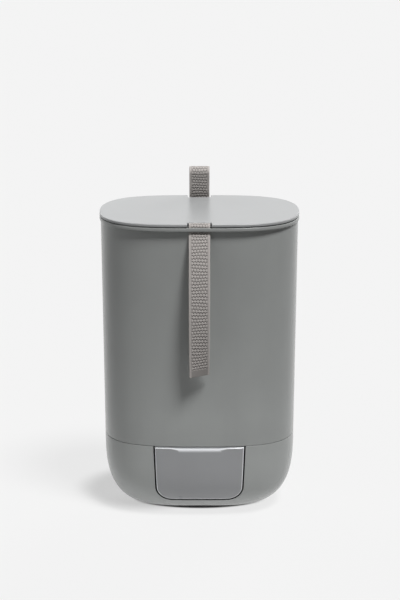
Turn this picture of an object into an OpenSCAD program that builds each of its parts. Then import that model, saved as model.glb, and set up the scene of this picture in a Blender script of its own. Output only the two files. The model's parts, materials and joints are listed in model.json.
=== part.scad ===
// Kitchen bin for bokashi composting: a tall tapered bucket with an overhanging rim, standing on a
// bowl-shaped base that holds a pull-out cup. Webbing straps are looped at the front and rear rim.
// Millimetres, +Z up, front toward -Y, origin on the floor under the middle of the base.

/* [Overall] */
// Height from the floor to the top of the lid
total_h = 367; // [340:1:400]
// Width of the lid and the rim
lid_w = 240; // [220:1:260]
// Depth of the lid and the rim
lid_d = 175.2; // [160:0.2:190]

/* [Bucket] */
// How far the rim overhangs the bucket at each side
rim_side = 1.4; // [0.8:0.1:3]
// How much each side draws in from the rim down to the seam
draft_side = 2.6; // [0.5:0.1:5]
// How much the front and the rear draw in from the rim down to the seam
draft_front = 1.4; // [0.5:0.1:4]
// Thickness of the bucket's wall
wall = 2.6; // [2:0.1:3.2]
// Height of the overhanging rim band
rim_h = 5.2; // [4:0.1:7]
// Height of the underside of the bucket's floor above the base's top edge
floor_up = 24.6; // [22:0.2:32]
// Thickness of the bucket's floor
floor_t = 4; // [3:0.1:6]
// Depth of the drip cone in the floor
floor_fall = 1.4; // [0.8:0.1:2]
// Radius of the drip cone in the floor
cone_r = 56; // [45:1:58]

/* [Base] */
// Height of the base's top edge above the ground
base_h = 93.4; // [88:0.2:96]
// Thickness of the base's wall
base_wall = 2.6; // [2:0.1:3.2]
// Thickness of the base's floor
base_floor = 3; // [2:0.1:4]
// Width of the base's flat underside
foot_w = 119; // [90:1:150]
// Depth of the base's flat underside
foot_d = 50.6; // [40:0.2:80]
// Height of the base's underside above the ground
base_lift = 0.8; // [0.5:0.1:1.4]
// Distance of the rubber pad inside the edge of the flat underside
pad_edge = 8.4; // [6:0.1:12]
// Thickness of the rubber pad
pad_t = 1.8; // [1.6:0.1:2.4]

/* [Cup] */
// Half width of the cup's face at its top
cup_half_w = 54.3; // [46:0.1:58]
// How much narrower each side is at the cup's bottom
cup_taper = 2; // [0:0.1:4]
// Height of the cup's underside above the ground
cup_z = 21.1; // [19:0.1:26]
// Radius of the cup's lower corners
cup_corner_r = 18; // [12:0.5:24]
// Gap between the cup and the opening around it
cup_gap = 1.2; // [0.8:0.1:1.8]
// Thickness of the cup's walls
cup_wall = 2.2; // [1.6:0.1:3]
// How far the cup's side and rear walls end below its front lip
cup_side_drop = 8.4; // [7.5:0.1:20]
// Distance of the cup's rear face behind the middle of the bin
cup_back_y = 24; // [10:1:32]
// Thickness of the bay that guides the cup
bay_t = 2; // [1.6:0.1:3]

/* [Drain] */
// Distance of the drain in front of the middle of the bin
drain_y = 20; // [14:1:26]
// Outer radius of the tap's threaded neck
neck_r = 10; // [9:0.1:12]
// Radius of the tap's flange
flange_r = 16; // [14:0.2:17.5]
// Radius of the water way through the tap
way_r = 4; // [3:0.1:4.5]
// Radius of the turning key in the tap
key_r = 5.95; // [5.4:0.05:6.4]
// Radius of the barrel around the key
barrel_r = 9.5; // [8.5:0.1:9.8]
// Depth of the key's axis below the underside of the bucket's floor
key_drop = 20; // [19.6:0.1:21]
// Length of the tap's lever from the key's axis
lever_l = 15; // [12:0.5:15.5]

/* [Strainer] */
// Height of the strainer's legs
leg_h = 20; // [14:0.5:30]
// Thickness of the strainer plate
strainer_t = 3; // [2:0.1:4]
// Radius of the strainer's holes
hole_r = 2.6; // [1.5:0.1:3.5]
// Distance between the strainer's holes
hole_pitch = 14; // [12:0.5:20]

/* [Press] */
// Thickness of the press plate
press_t = 4; // [3:0.1:6]
// Distance between the posts of the press handle
grip_span = 84; // [70:1:110]
// Height of the middle of the grip above the plate
grip_h = 34; // [30:0.5:44]
// Radius of the grip
grip_r = 8; // [6:0.2:10]

/* [Lid parts] */
// Thickness of the lid's cover
lid_t = 3.1; // [2.6:0.1:4]
// Depth of the lid's plug below the cover
plug_h = 15.6; // [12:0.2:20]
// Thickness of the plug's wall
plug_wall = 2.2; // [1.8:0.1:3]
// Height of the rubber seal round the plug
seal_h = 4.6; // [3:0.1:6]

/* [Straps] */
// Width of the webbing
strap_w = 25; // [20:0.5:26]
// Thickness of the webbing
strap_t = 1.6; // [1.2:0.1:2]
// Radius of the bar that each strap is looped on
bar_r = 2.2; // [1.8:0.1:2.4]
// Length of the front strap below its bend
front_l = 172.8; // [120:1:190]
// Length of the rear strap's standing stretch
rise_l = 27.5; // [20:0.5:50]
// Radius of the rear strap's backward curl
curl_r = 10; // [6:0.5:16]
// Length of the rear strap past its curl
drop_l = 22; // [10:1:26]

/* [Hidden] */
// Shape of the plan outlines: exponents of the rounded rectangle along X and along Y
lid_square_share = [3.54, 2.39];
body_square_share = [3.4, 2.6];
bowl_round_share = 3;
// Number of points round an outline, and of rings up the bowl
plan_points = 72;
bowl_rings = 9;
arc_points = 10;
$fn = 48;

// Clearances, and one overrun for all cuts
cut_over = 1;
lap = 0.6;
seam_gap = 0.5;
lid_gap = 0.3;
slip = 0.3;
run_gap = 0.05;
fit_gap = 0.1;
thread_gap = 0.1;

// Web of the rim in front of each strap, and the room on both sides of the webbing behind it
web_t = 1.6;
web_gap = 0.72;
strap_gap = 0.48;

// Plan sizes and heights that follow from the driving sizes
body_w = lid_w - 2 * rim_side;
body_d = lid_d - 2 * (web_t + web_gap + strap_t + strap_gap);
seam_w = body_w - 2 * draft_side;
seam_d = body_d - 2 * draft_front;
rim_top = total_h - lid_t - lid_gap;
rim_low = rim_top - rim_h;
cover_z = total_h - lid_t;
seam_z = base_h + seam_gap;
floor_z = base_h + floor_up;
floor_top = floor_z + floor_t;

// Spigot under the bucket and the ledge that it stands on
spigot_h = 7.9;
spigot_t = 2.2;
spigot_gap = 0.2;
spigot_root = 6;
ledge_t = 3;
spigot_z = seam_z - spigot_h;
spigot_top = seam_z + spigot_root;
mouth_side = 6;

// Strap pocket in the rim: a pad inside the wall, hollowed from above, with a slot through the rim
pad_side = 3.4;
pad_inner = 2;
pad_h = 12;
ear_t = 1.15;
keeper_back = 1;
loop_gap = 0.08;
bar_drop = 2;
loop_in_r = bar_r + loop_gap;
loop_out_r = loop_in_r + strap_t;
pocket_out = lid_d / 2 - web_t;
bar_y = pocket_out - web_gap - loop_out_r;
bar_z = rim_top - bar_drop;
ear_r = 3.6;
strap_side = 0.35;
ear_in = strap_w / 2 + strap_side;
keeper_half = ear_in + ear_t;
pocket_half = keeper_half + fit_gap;
keeper_in = bar_y - loop_out_r - slip - keeper_back;
pocket_in = keeper_in - fit_gap;
pocket_z = bar_z - loop_out_r - slip;
pad_half = pocket_half + pad_side;
pad_in = pocket_in - pad_inner;
notch_side = 0.4;
notch_back = 1.2;
notch_half = keeper_half + notch_side;
notch_in = pocket_in - notch_back;

// Folded strap paths
bend_y = bar_y + (loop_in_r + loop_out_r) / 2;
stub_h = 1.8;
front_bend_z = rim_low - stub_h - slip - strap_t / 2;
rear_bend_z = rim_top + stub_h + slip + strap_t / 2;
front_lean = 20;
front_tuck = 14;
hem_l = 9;
hem_t = 0.9;
rear_lean = 6;
curl_end = 165;

// Drain pieces, from the flange down
gasket_t = 1.5;
flange_t = 1.8;
key_z = floor_z - key_drop;
sump_side = 1.6;
sump_r = flange_r + sump_side;
sump_z = floor_top - floor_fall - gasket_t - flange_t;
boss_t = 3;
boss_wall = 2.4;
boss_r = sump_r + boss_wall;
boss_z = sump_z - boss_t;
nut_h = 6;
nut_r = 16.5;
neck_gap = 0.4;
neck_hole_r = neck_r + neck_gap;
neck_way_r = 6;
barrel_l = 30;
barrel_bore_r = key_r + run_gap;
outlet_r = 7.5;
outlet_drop = 2;
outlet_z = key_z - barrel_r - outlet_drop;
key_head_r = 8;
key_head_t = 3;
lever_t = 4;
lever_w = 7;
clip_t = 0.8;
clip_r = 8.4;
clip_gap = 0.1;
groove_r = 4.7;
key_tail = 2.6;
ring_r = 0.8;
ring_in = 6;

// Strainer and press
strainer_gap = 1.5;
press_gap = 12;
leg_r = 4;
leg_edge = [28.4, 30];
mid_leg_edge = 20.4;
strainer_z = floor_top + leg_h;
hole_edge = 7;
press_z = strainer_z + strainer_t + slip;
press_rib_h = 1.8;
press_rib_w = 2.4;
press_rib_in = 6;
post_r = 7;
screw_r = 2;
screw_head_r = 4;
screw_head_h = 1.8;
screw_deep = 14;

// Lid plug and seal
plug_gap = 1.6;
seal_groove = 1.3;
seal_up = 5.6;
plug_lip = 8;
plug_lip_t = 1.8;

// Cup and bay
cup_sink = 1;
cup_top_z = base_h - cup_sink;
cup_side_z = cup_top_z - cup_side_drop;
cup_lip = 6;
cup_bevel = 2.6;
bay_drop = 12;
bay_wall_z = cup_side_z - bay_drop;
bay_back_gap = 1;
runner_w = 4;
runner_x = 30;
runner_gap = 0.3;
rib_t = 2.4;
rib_x = 26;
rib_front = 24;
rib_rear = 12;

// Rounded rectangle outline with half sizes hw and hd, drawn as a superellipse
function outline(hw, hd, shape) = [
    for (i = [0 : plan_points - 1])
        let (a = 360 * i / plan_points, c = cos(a), s = sin(a))
        [hw * sign(c) * pow(abs(c), 2 / shape[0]), hd * sign(s) * pow(abs(s), 2 / shape[1])]
];

// Bucket outline at a height, drawn in by an inset
function rise_share(z) = (z - seam_z) / (rim_low - seam_z);
function body_half(size_low, size_high, z) = (size_low + (size_high - size_low) * rise_share(z)) / 2;
function body_outline(z, inset) = outline(
    body_half(seam_w, body_w, z) - inset, body_half(seam_d, body_d, z) - inset, body_square_share);

// Bowl of the base: a quarter superellipse between the seam and the flat underside
function bowl_z(a) = base_h * (1 - pow(cos(a), 2 / bowl_round_share));
function bowl_turn(a) = 1 - pow(sin(a), 2 / bowl_round_share);
function bowl_angle(z) = acos(pow(1 - z / base_h, bowl_round_share / 2));
function bowl_half(size_top, size_low, a) =
    (size_top - (size_top - size_low) * bowl_turn(a) / bowl_turn(bowl_angle(base_lift))) / 2;
function bowl_outline(a, inset) = outline(
    bowl_half(seam_w, foot_w, a) - inset, bowl_half(seam_d, foot_d, a) - inset, body_square_share);

// Outline of the rubber pad, grown by a gap
function pad_outline(grow) = outline(
    foot_w / 2 - pad_edge + grow, foot_d / 2 - pad_edge + grow, body_square_share);

// Closed solid through a stack of outlines, each given with its height
module loft(rings, heights) {
    n = len(rings[0]);
    last = len(rings) - 1;
    points = [for (k = [0 : last]) for (p = rings[k]) [p[0], p[1], heights[k]]];
    low = [for (i = [0 : n - 1]) i];
    high = [for (i = [0 : n - 1]) last * n + n - 1 - i];
    sides = [
        for (k = [0 : last - 1]) for (i = [0 : n - 1])
            let (j = (i + 1) % n, a = k * n + i, b = k * n + j)
            each [[a, a + n, b + n], [a, b + n, b]]
    ];
    polyhedron(points = points, faces = concat([low], [high], sides));
}

module body_solid(z_low, z_high, inset) {
    loft([body_outline(z_low, inset), body_outline(z_high, inset)], [z_low, z_high]);
}

module bowl_solid(z_low, inset, over) {
    first = bowl_angle(z_low);
    angles = [for (k = [0 : bowl_rings]) first + (90 - first) * k / bowl_rings];
    top = outline(seam_w / 2 - inset, seam_d / 2 - inset, body_square_share);
    rings = [for (a = angles) bowl_outline(a, inset)];
    heights = [for (a = angles) bowl_z(a)];
    if (over > 0) loft(concat(rings, [top]), concat(heights, [base_h + over]));
    else loft(rings, heights);
}

// Outline of the bucket's mouth at the seal, drawn in by an inset and notched round the strap pads
module mouth(inset) {
    difference() {
        polygon(body_outline(rim_low, wall + inset));
        for (end = [0, 1]) mirror([0, end, 0])
            translate([-pad_half - inset, pad_in - inset])
                square([2 * (pad_half + inset), lid_d]);
    }
}

module mouth_ring(z_low, height, inset, thick) {
    translate([0, 0, z_low]) linear_extrude(height) difference() {
        mouth(inset);
        mouth(inset + thick);
    }
}

// Front view of the cup, grown by a gap: a tub with rounded lower corners, up to a given height
function cup_view(grow, top) =
    let (
        r = cup_corner_r + grow,
        low_half = cup_half_w - cup_taper + grow,
        top_half = cup_half_w + grow,
        low = cup_z - grow,
        right = [for (i = [0 : arc_points])
            let (a = -90 + 90 * i / arc_points)
            [low_half - r + r * cos(a), low + r + r * sin(a)]],
        left = [for (i = [arc_points : -1 : 0]) [-right[i][0], right[i][1]]]
    )
    concat(right, [[top_half, top], [-top_half, top]], left);

module cup_prism(grow, top, y_front, y_back) {
    translate([0, y_back, 0]) rotate([90, 0, 0]) linear_extrude(y_back - y_front)
        polygon(cup_view(grow, top));
}

// Box given by its low and high corners
module span(low, high) {
    translate(low) cube([high[0] - low[0], high[1] - low[1], high[2] - low[2]]);
}

module rod_x(r, x_low, x_high, y, z) {
    translate([x_low, y, z]) rotate([0, 90, 0]) cylinder(r = r, h = x_high - x_low);
}

module rod_y(r, y_low, y_high, z) {
    translate([0, y_low, z]) rotate([-90, 0, 0]) cylinder(r = r, h = y_high - y_low);
}

// Webbing seen from the side: a path of [y, z, heading], made as thick as given on each side
function band(path, left_t, right_t) = concat(
    [for (p = path) [p[0] - left_t * sin(p[2]), p[1] + left_t * cos(p[2])]],
    [for (i = [len(path) - 1 : -1 : 0])
        let (p = path[i]) [p[0] + right_t * sin(p[2]), p[1] - right_t * cos(p[2])]]
);

module ribbon(path, left_t, right_t, width) {
    translate([-width / 2, 0, 0]) rotate([90, 0, 90]) linear_extrude(width)
        polygon(band(path, left_t, right_t));
}

// Front strap: one even bow, leaning out at the rim and tucked in at its end
front_r = front_l / ((front_lean + front_tuck) * PI / 180);
function front_path(from, to) = [
    for (i = [0 : 2 * arc_points])
        let (a = from + (to - from) * i / (2 * arc_points))
        [-bend_y - front_r * (cos(a) - cos(front_lean)),
            front_bend_z - front_r * (sin(front_lean) - sin(a)), 270 - a]
];

// Rear strap: a standing stretch, a curl over backwards and a free end
function rear_curl(a) = [
    bend_y + rise_l * sin(rear_lean) + curl_r * (cos(rear_lean) - cos(a)),
    rear_bend_z + rise_l * cos(rear_lean) + curl_r * (sin(a) - sin(rear_lean)), 90 - a
];
function rear_path() = concat(
    [[bend_y, rear_bend_z, 90 - rear_lean]],
    [for (i = [0 : 2 * arc_points]) rear_curl(rear_lean + (curl_end - rear_lean) * i / (2 * arc_points))],
    [let (p = rear_curl(curl_end))
        [p[0] + drop_l * sin(curl_end), p[1] + drop_l * cos(curl_end), p[2]]]
);

// Rubber pad that the bin stands on
module foot_pad() {
    color([0.16, 0.16, 0.17]) linear_extrude(pad_t) polygon(pad_outline(0));
}

// Ledge inside the base, cut away at the front for the cup
module base_ledge() {
    difference() {
        translate([0, 0, spigot_z - ledge_t]) linear_extrude(ledge_t) difference() {
            polygon(outline(seam_w / 2 - base_wall + lap, seam_d / 2 - base_wall + lap,
                body_square_share));
            polygon(outline(seam_w / 2 - base_wall - spigot_t, seam_d / 2 - base_wall - spigot_t,
                body_square_share));
        }
        span([-cup_half_w - mouth_side, -seam_d, 0], [cup_half_w + mouth_side, 0, base_h]);
    }
}

// Bowl-shaped base with the cup's opening, the bucket's ledge and two ribs under the bay
module base_shell() {
    bay_low = cup_z - cup_gap - bay_t;
    color([0.53, 0.55, 0.54]) union() {
        difference() {
            bowl_solid(base_lift, 0, 0);
            bowl_solid(base_lift + base_floor, base_wall, cut_over);
            cup_prism(cup_gap, base_h + cut_over, -seam_d, -drain_y);
            translate([0, 0, -cut_over]) linear_extrude(pad_t + cut_over) polygon(pad_outline(slip));
        }
        base_ledge();
        for (y = [-rib_front, rib_rear])
            span([-rib_x, y, base_lift + base_floor - lap], [rib_x, y + rib_t, bay_low]);
    }
}

// Channel in the base that guides the cup, with two runners and a rear stop
module cup_bay() {
    back = cup_back_y + bay_back_gap;
    color([0.3, 0.31, 0.31]) intersection() {
        bowl_solid(base_lift + base_floor, base_wall + slip, 0);
        union() {
            difference() {
                cup_prism(cup_gap + bay_t, bay_wall_z, -seam_d, back + bay_t);
                cup_prism(cup_gap, bay_wall_z + cut_over, -seam_d - cut_over, back);
            }
            for (x = [-runner_x, runner_x])
                span([x - runner_w / 2, -seam_d / 2, cup_z - cup_gap - lap],
                    [x + runner_w / 2, back, cup_z - runner_gap]);
        }
    }
}

// Pull-out cup whose front face lies flush with the bowl of the base
module leachate_cup() {
    color([0.5, 0.51, 0.54]) difference() {
        intersection() {
            cup_prism(0, cup_top_z, -seam_d, cup_back_y);
            bowl_solid(base_lift, 0, 0);
        }
        intersection() {
            cup_prism(-cup_wall, base_h, -seam_d, cup_back_y - cup_wall);
            bowl_solid(base_lift, cup_wall, cut_over);
        }
        span([-cup_half_w - cut_over, cup_lip - seam_d / 2, cup_side_z],
            [cup_half_w + cut_over, cup_back_y + cut_over, base_h + cut_over]);
        translate([-seam_w / 2, -seam_d / 2, cup_top_z - cup_bevel]) rotate([45, 0, 0])
            translate([0, -cup_bevel * 2, 0]) cube([seam_w, cup_bevel * 4, cup_bevel * 4]);
    }
}

// Pad inside the wall that the strap pocket is cut in, with a sloped underside
module strap_pad() {
    root_y = body_d / 2 - lap;
    translate([-pad_half, 0, 0]) rotate([90, 0, 90]) linear_extrude(2 * pad_half) polygon([
        [root_y, rim_top], [pad_in, rim_top], [pad_in, rim_top - pad_h],
        [root_y, rim_top - pad_h - root_y + pad_in]
    ]);
}

module strap_pocket() {
    slot_in = body_d / 2 + run_gap;
    span([-pocket_half, pocket_in, pocket_z], [pocket_half, pocket_out, rim_top + cut_over]);
    span([-pocket_half, slot_in, rim_low - stub_h], [pocket_half, pocket_out, rim_top]);
}

// Bucket: drafted wall and overhanging rim, with a strap pocket front and rear. Its inner face has a
// ring at each height where the floor and the spigot meet it
module bucket() {
    heights = [seam_z - cut_over, seam_z, spigot_top, floor_z, floor_top, rim_top + cut_over];
    color([0.53, 0.55, 0.54]) difference() {
        union() {
            difference() {
                union() {
                    body_solid(seam_z, rim_top, 0);
                    translate([0, 0, rim_low]) linear_extrude(rim_h)
                        polygon(outline(lid_w / 2, lid_d / 2, lid_square_share));
                }
                loft([for (z = heights) body_outline(z, wall)], heights);
            }
            for (end = [0, 1]) mirror([0, end, 0]) strap_pad();
        }
        for (end = [0, 1]) mirror([0, end, 0]) strap_pocket();
    }
}

// Floor with a shallow cone that runs to the drain, and a boss for the tap under it
module bucket_floor() {
    color([0.53, 0.55, 0.54]) difference() {
        union() {
            body_solid(floor_z, floor_top, wall);
            translate([0, -drain_y, boss_z]) cylinder(r = boss_r, h = floor_z - boss_z + lap);
        }
        translate([0, -drain_y, floor_top - floor_fall])
            cylinder(r1 = sump_r, r2 = cone_r, h = floor_fall);
        translate([0, -drain_y, sump_z]) cylinder(r = sump_r, h = floor_t + cut_over);
        translate([0, -drain_y, boss_z - cut_over])
            cylinder(r = neck_hole_r, h = floor_top - boss_z + cut_over);
    }
}

// Ring under the bucket that stands in the base, open at the front for the cup
module bucket_spigot() {
    outer = base_wall + spigot_gap;
    color([0.53, 0.55, 0.54]) difference() {
        union() {
            translate([0, 0, spigot_z]) linear_extrude(spigot_h + lap)
                polygon(outline(seam_w / 2 - outer, seam_d / 2 - outer, body_square_share));
            body_solid(seam_z, spigot_top, wall);
        }
        translate([0, 0, spigot_z - cut_over])
            linear_extrude(spigot_h + spigot_root + 2 * cut_over)
            polygon(outline(seam_w / 2 - outer - spigot_t, seam_d / 2 - outer - spigot_t,
                body_square_share));
        span([-cup_half_w - mouth_side, -seam_d, 0], [cup_half_w + mouth_side, 0, seam_z]);
    }
}

// Tap: a flanged neck through the floor, a barrel across it for the key, and an outlet
module tap_body() {
    top = sump_z + gasket_t + flange_t;
    color([0.25, 0.26, 0.27]) translate([0, -drain_y, 0]) difference() {
        union() {
            translate([0, 0, top - flange_t]) cylinder(r = flange_r, h = flange_t);
            translate([0, 0, key_z]) cylinder(r = neck_r, h = top - key_z);
            rod_y(barrel_r, -barrel_l / 2, barrel_l / 2, key_z);
            translate([0, 0, outlet_z]) cylinder(r = outlet_r, h = key_z - outlet_z);
        }
        translate([0, 0, key_z + key_r + run_gap]) cylinder(r = neck_way_r, h = floor_z);
        translate([0, 0, outlet_z - cut_over]) cylinder(r = way_r, h = floor_z);
        rod_y(barrel_bore_r, -barrel_l / 2 - cut_over, barrel_l / 2 + cut_over, key_z);
    }
}

// Rubber washer between the flange and the floor
module drain_gasket() {
    color([0.15, 0.15, 0.16]) translate([0, -drain_y, sump_z]) difference() {
        cylinder(r = flange_r - slip, h = gasket_t);
        translate([0, 0, -cut_over]) cylinder(r = neck_hole_r, h = gasket_t + 2 * cut_over);
    }
}

// Nut that clamps the tap under the floor
module drain_nut() {
    color([0.35, 0.36, 0.37]) translate([0, -drain_y, boss_z - nut_h]) difference() {
        cylinder(r = nut_r, h = nut_h, $fn = 6);
        translate([0, 0, -cut_over]) cylinder(r = neck_r + thread_gap, h = nut_h + 2 * cut_over);
    }
}

// Turning key with its lever. It is stored shut, with its cross hole level
module tap_key() {
    front = -barrel_l / 2 - slip;
    back = barrel_l / 2 + slip;
    color([0.45, 0.46, 0.46]) translate([0, -drain_y, 0]) difference() {
        union() {
            rod_y(key_r, front, back + clip_t + key_tail, key_z);
            rod_y(key_head_r, front - key_head_t, front, key_z);
            span([0, front - key_head_t - lever_t, key_z - lever_w / 2],
                [lever_l, front - key_head_t, key_z + lever_w / 2]);
            rod_y(lever_w / 2, front - key_head_t - lever_t, front, key_z);
        }
        rod_x(way_r, -key_head_r, key_head_r, 0, key_z);
        translate([0, back - clip_gap, key_z]) rotate([-90, 0, 0]) difference() {
            cylinder(r = clip_r, h = clip_t + 2 * clip_gap);
            translate([0, 0, -cut_over]) cylinder(r = groove_r, h = clip_t + 2 * cut_over);
        }
        for (side = [-1, 1]) translate([0, side * (barrel_l / 2 - ring_in), key_z])
            rotate([90, 0, 0]) rotate_extrude()
                translate([key_r - 2 * ring_r, -ring_r - clip_gap])
                    square([2 * ring_r + cut_over, 2 * (ring_r + clip_gap)]);
    }
}

// Two rubber rings in the key's grooves
module tap_seals() {
    color([0.1, 0.1, 0.1]) for (side = [-1, 1])
        translate([0, side * (barrel_l / 2 - ring_in) - drain_y, key_z])
            rotate([90, 0, 0]) rotate_extrude()
                translate([key_r - ring_r, 0]) circle(r = ring_r - run_gap);
}

// Clip that keeps the key in its barrel
module tap_clip() {
    color([0.75, 0.76, 0.78]) translate([0, barrel_l / 2 + slip - drain_y, key_z])
        rotate([-90, 0, 0]) difference() {
            cylinder(r = clip_r, h = clip_t);
            translate([0, 0, -cut_over]) cylinder(r = groove_r + run_gap, h = clip_t + 2 * cut_over);
            span([-groove_r + slip, -clip_r - cut_over, -cut_over],
                [groove_r - slip, 0, clip_t + cut_over]);
        }
}

// True where a hole at x, y lies well inside the strainer plate, and where it meets a leg
function in_plate(x, y, hw, hd) =
    pow(abs(x) / hw, body_square_share[0]) + pow(abs(y) / hd, body_square_share[1]) < 1;
function by_leg(x, y, legs) =
    min([for (p = legs) norm([abs(x) - p[0], abs(y) - p[1]])]) < leg_r + 2 * hole_r;

// Perforated plate on six legs that keeps the waste above the liquid
module strainer() {
    inset = wall + strainer_gap;
    hw = body_half(seam_w, body_w, strainer_z) - inset;
    hd = body_half(seam_d, body_d, strainer_z) - inset;
    legs = [[hw - leg_edge[0], hd - leg_edge[1]], [hw - mid_leg_edge, 0]];
    nx = floor(hw / hole_pitch);
    ny = floor(hd / hole_pitch);
    color([0.5, 0.52, 0.51]) union() {
        translate([0, 0, strainer_z]) linear_extrude(strainer_t) difference() {
            polygon(outline(hw, hd, body_square_share));
            for (i = [-nx : nx]) for (j = [-ny : ny])
                if (in_plate(i * hole_pitch, j * hole_pitch, hw - hole_edge, hd - hole_edge)
                    && !by_leg(i * hole_pitch, j * hole_pitch, legs))
                    translate([i, j] * hole_pitch) circle(r = hole_r, $fn = 24);
        }
        for (x = [-1, 1]) for (y = [-1, 1])
            translate([x * legs[0][0], y * legs[0][1], floor_top]) cylinder(r = leg_r, h = leg_h + lap);
        for (x = [-1, 1])
            translate([x * legs[1][0], 0, floor_top]) cylinder(r = leg_r, h = leg_h + lap);
    }
}

// Flat plate for pressing the waste down, with a raised stiffening ring
module press_plate() {
    inset = wall + press_gap;
    hw = body_half(seam_w, body_w, strainer_z) - inset;
    hd = body_half(seam_d, body_d, strainer_z) - inset;
    color([0.5, 0.52, 0.51]) difference() {
        union() {
            translate([0, 0, press_z]) linear_extrude(press_t)
                polygon(outline(hw, hd, body_square_share));
            translate([0, 0, press_z + press_t - lap]) linear_extrude(press_rib_h + lap)
                difference() {
                    polygon(outline(hw - press_rib_in, hd - press_rib_in, body_square_share));
                    polygon(outline(hw - press_rib_in - press_rib_w,
                        hd - press_rib_in - press_rib_w, body_square_share));
                }
        }
        for (side = [-1, 1]) translate([side * grip_span / 2, 0, press_z - cut_over]) {
            cylinder(r = screw_r + fit_gap, h = press_t + 2 * cut_over);
            cylinder(r = screw_head_r + slip, h = screw_head_h + fit_gap + cut_over);
        }
    }
}

// Bow grip on two posts
module press_handle() {
    low = press_z + press_t;
    color([0.53, 0.55, 0.54]) difference() {
        union() {
            rod_x(grip_r, -grip_span / 2, grip_span / 2, 0, low + grip_h);
            for (side = [-1, 1]) translate([side * grip_span / 2, 0, low]) {
                cylinder(r = post_r, h = grip_h);
                translate([0, 0, grip_h]) sphere(r = grip_r);
            }
        }
        for (side = [-1, 1]) translate([side * grip_span / 2, 0, low - cut_over])
            cylinder(r = screw_r + fit_gap, h = screw_deep + slip + cut_over);
    }
}

// Two screws that hold the grip on the plate from below
module press_screws() {
    color([0.75, 0.76, 0.78]) for (side = [-1, 1])
        translate([side * grip_span / 2, 0, press_z]) {
            cylinder(r = screw_head_r, h = screw_head_h);
            cylinder(r = screw_r, h = press_t + screw_deep);
        }
}

// Flat cover of the lid, notched front and rear round the straps
module lid_cover() {
    color([0.56, 0.57, 0.58]) translate([0, 0, cover_z]) linear_extrude(lid_t) difference() {
        polygon(outline(lid_w / 2, lid_d / 2, lid_square_share));
        for (end = [0, 1]) mirror([0, end, 0])
            translate([-notch_half, notch_in]) square([2 * notch_half, lid_d]);
    }
}

// Plug under the cover, with a groove for the seal and a lip against the cover
module lid_plug() {
    low = cover_z - plug_h;
    color([0.5, 0.52, 0.51]) difference() {
        union() {
            mouth_ring(low, plug_h, plug_gap, plug_wall + seal_groove);
            mouth_ring(cover_z - plug_lip_t, plug_lip_t, plug_gap + lap, plug_lip);
        }
        mouth_ring(low + seal_up - slip, seal_h + 2 * slip, plug_gap - cut_over,
            seal_groove + slip + cut_over);
    }
}

// Rubber seal round the plug
module lid_seal() {
    color([0.12, 0.12, 0.13])
        mouth_ring(cover_z - plug_h + seal_up, seal_h, slip, plug_gap + seal_groove - slip);
}

// Frame pressed in the rim's pocket: two ears, a back and the bar that carries the strap
module strap_keeper() {
    color([0.3, 0.31, 0.31]) union() {
        rod_x(bar_r, -keeper_half, keeper_half, bar_y, bar_z);
        span([-keeper_half, keeper_in, pocket_z + fit_gap], [keeper_half, keeper_in + keeper_back, rim_top]);
        for (x = [-keeper_half, ear_in]) {
            span([x, keeper_in, pocket_z + fit_gap], [x + ear_t, bar_y + ear_r, bar_z]);
            rod_x(ear_r, x, x + ear_t, bar_y, bar_z);
        }
    }
}

// Webbing sewn round the bar, with a short tail to the strap's bend
module strap_loop(tail_low, tail_high) {
    color([0.62, 0.6, 0.58]) difference() {
        union() {
            rod_x(loop_out_r, -strap_w / 2, strap_w / 2, bar_y, bar_z);
            span([-strap_w / 2, bar_y + loop_in_r, tail_low], [strap_w / 2, bar_y + loop_out_r, tail_high]);
        }
        rod_x(loop_in_r, -strap_w / 2 - cut_over, strap_w / 2 + cut_over, bar_y, bar_z);
    }
}

module front_strap_keeper() {
    mirror([0, 1, 0]) strap_keeper();
}

module front_strap_loop() {
    mirror([0, 1, 0]) strap_loop(rim_low - stub_h, bar_z);
}

// Hanging front strap, with its end folded back and sewn
module front_strap() {
    hem_angle = hem_l / front_r * 180 / PI;
    color([0.62, 0.6, 0.58]) union() {
        rod_x(strap_t / 2, -strap_w / 2, strap_w / 2, -bend_y, front_bend_z);
        ribbon(front_path(front_lean, -front_tuck), strap_t / 2, strap_t / 2, strap_w);
        ribbon(front_path(hem_angle - front_tuck, -front_tuck), strap_t / 2 + hem_t, 0, strap_w);
    }
}

module rear_strap_keeper() {
    strap_keeper();
}

module rear_strap_loop() {
    strap_loop(bar_z, rim_top + stub_h);
}

// Rear strap standing behind the lid, curled over backwards
module rear_strap() {
    color([0.62, 0.6, 0.58]) union() {
        rod_x(strap_t / 2, -strap_w / 2, strap_w / 2, bend_y, rear_bend_z);
        ribbon(rear_path(), strap_t / 2, strap_t / 2, strap_w);
    }
}

foot_pad();
base_shell();
cup_bay();
leachate_cup();
bucket();
bucket_floor();
bucket_spigot();
tap_body();
drain_gasket();
drain_nut();
tap_key();
tap_seals();
tap_clip();
strainer();
press_plate();
press_handle();
press_screws();
lid_cover();
lid_plug();
lid_seal();
front_strap_keeper();
front_strap_loop();
front_strap();
rear_strap_keeper();
rear_strap_loop();
rear_strap();
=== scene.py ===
import functools
import json
import math

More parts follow.
